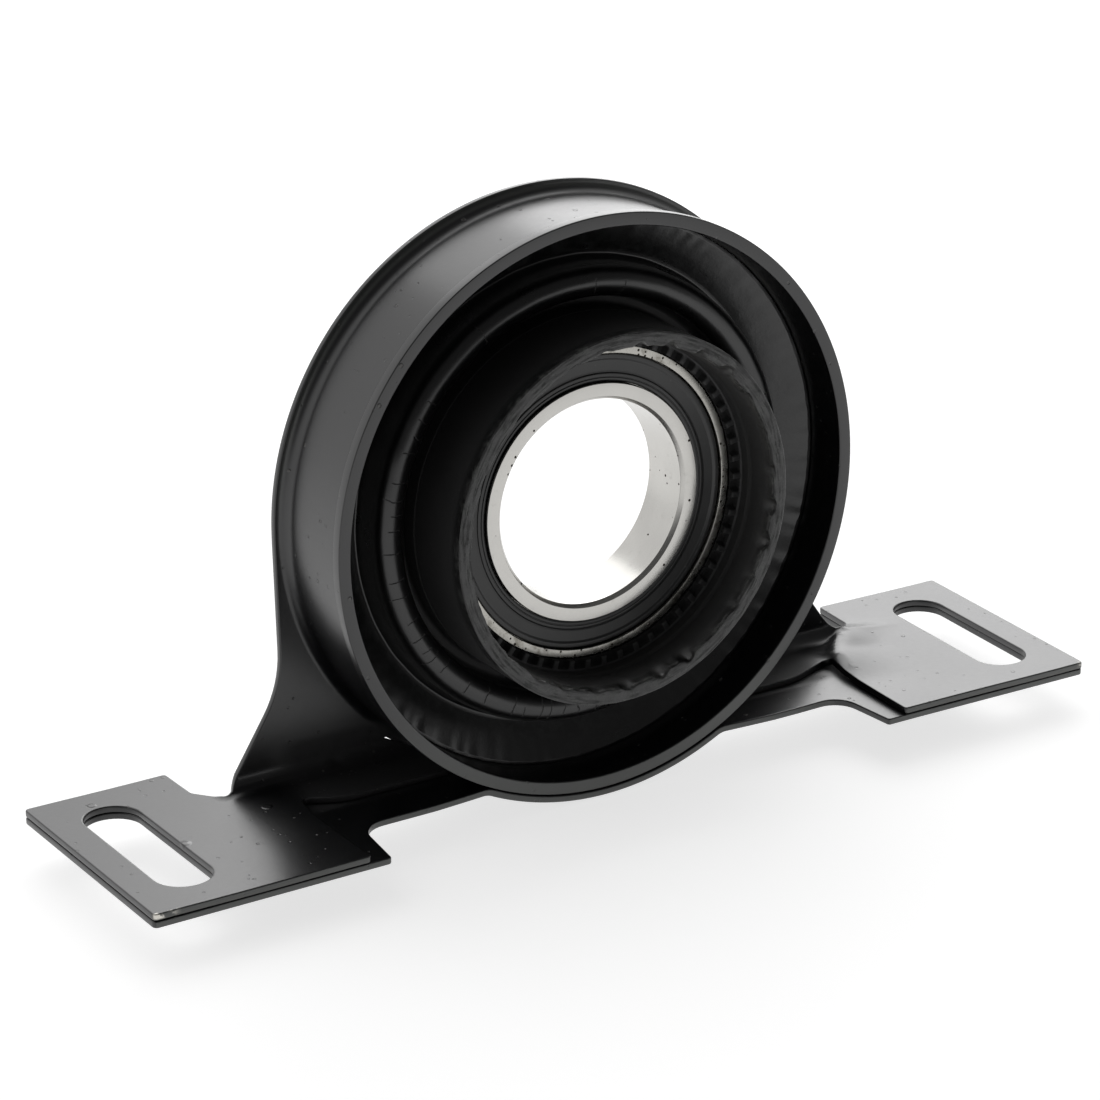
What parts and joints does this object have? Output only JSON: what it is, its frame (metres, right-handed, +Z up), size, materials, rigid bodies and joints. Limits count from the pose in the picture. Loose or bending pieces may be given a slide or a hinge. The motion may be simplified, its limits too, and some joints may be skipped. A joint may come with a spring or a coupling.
{
  "type": "driveshaft centre bearing",
  "caption": "Sealed ball bearing in a rubber spring mount, held in a black pressed-steel drum with two slotted feet.",
  "frame": {"origin": "lowest point of the saddle under the drum, below the shaft axis and midway along the feet's depth", "axes": "+X along the feet, +Y along the shaft axis from the open front of the drum to its flange, +Z up from the feet to the drum"},
  "size_m": [0.208, 0.0524, 0.1157],
  "materials": {
    "bracket_paint": "satin black dip paint on pressed steel",
    "mount_rubber": "moulded black rubber, satin",
    "race_steel": "ground bearing steel",
    "seal_rubber": "smooth black seal rubber",
    "cage_steel": "pressed ribbon steel",
    "ball_steel": "polished ball steel"
  },
  "bodies": {
    "housing": {"housing_bracket": "bracket_paint", "base_strap": "bracket_paint", "rubber_mount": "mount_rubber", "outer_ring": "race_steel", "front_seal": "seal_rubber", "rear_seal": "seal_rubber"},
    "inner_race": {"inner_ring": "race_steel"},
    "ball_train": {"cage_front": "cage_steel", "cage_rear": "cage_steel", "ball_01": "ball_steel", "ball_02": "ball_steel", "ball_03": "ball_steel", "ball_04": "ball_steel", "ball_05": "ball_steel", "ball_06": "ball_steel", "ball_07": "ball_steel", "ball_08": "ball_steel", "ball_09": "ball_steel", "ball_10": "ball_steel", "ball_11": "ball_steel", "ball_12": "ball_steel", "ball_13": "ball_steel", "ball_14": "ball_steel", "ball_15": "ball_steel", "ball_16": "ball_steel"}
  },
  "joints": [
    {"name": "inner_ring_spin", "type": "hinge", "parent": "housing", "child": "inner_race", "pos_m": [0, -0.00045, 0.0581], "axis": [0, 1, 0], "continuous": true},
    {"name": "cage_orbit", "type": "hinge", "parent": "housing", "child": "ball_train", "pos_m": [0, -0.00045, 0.0581], "axis": [0, 1, 0], "continuous": true}
  ],
  "couplings": [
    {"joint": "cage_orbit", "follows": "inner_ring_spin", "ratio": 0.4389}
  ]
}
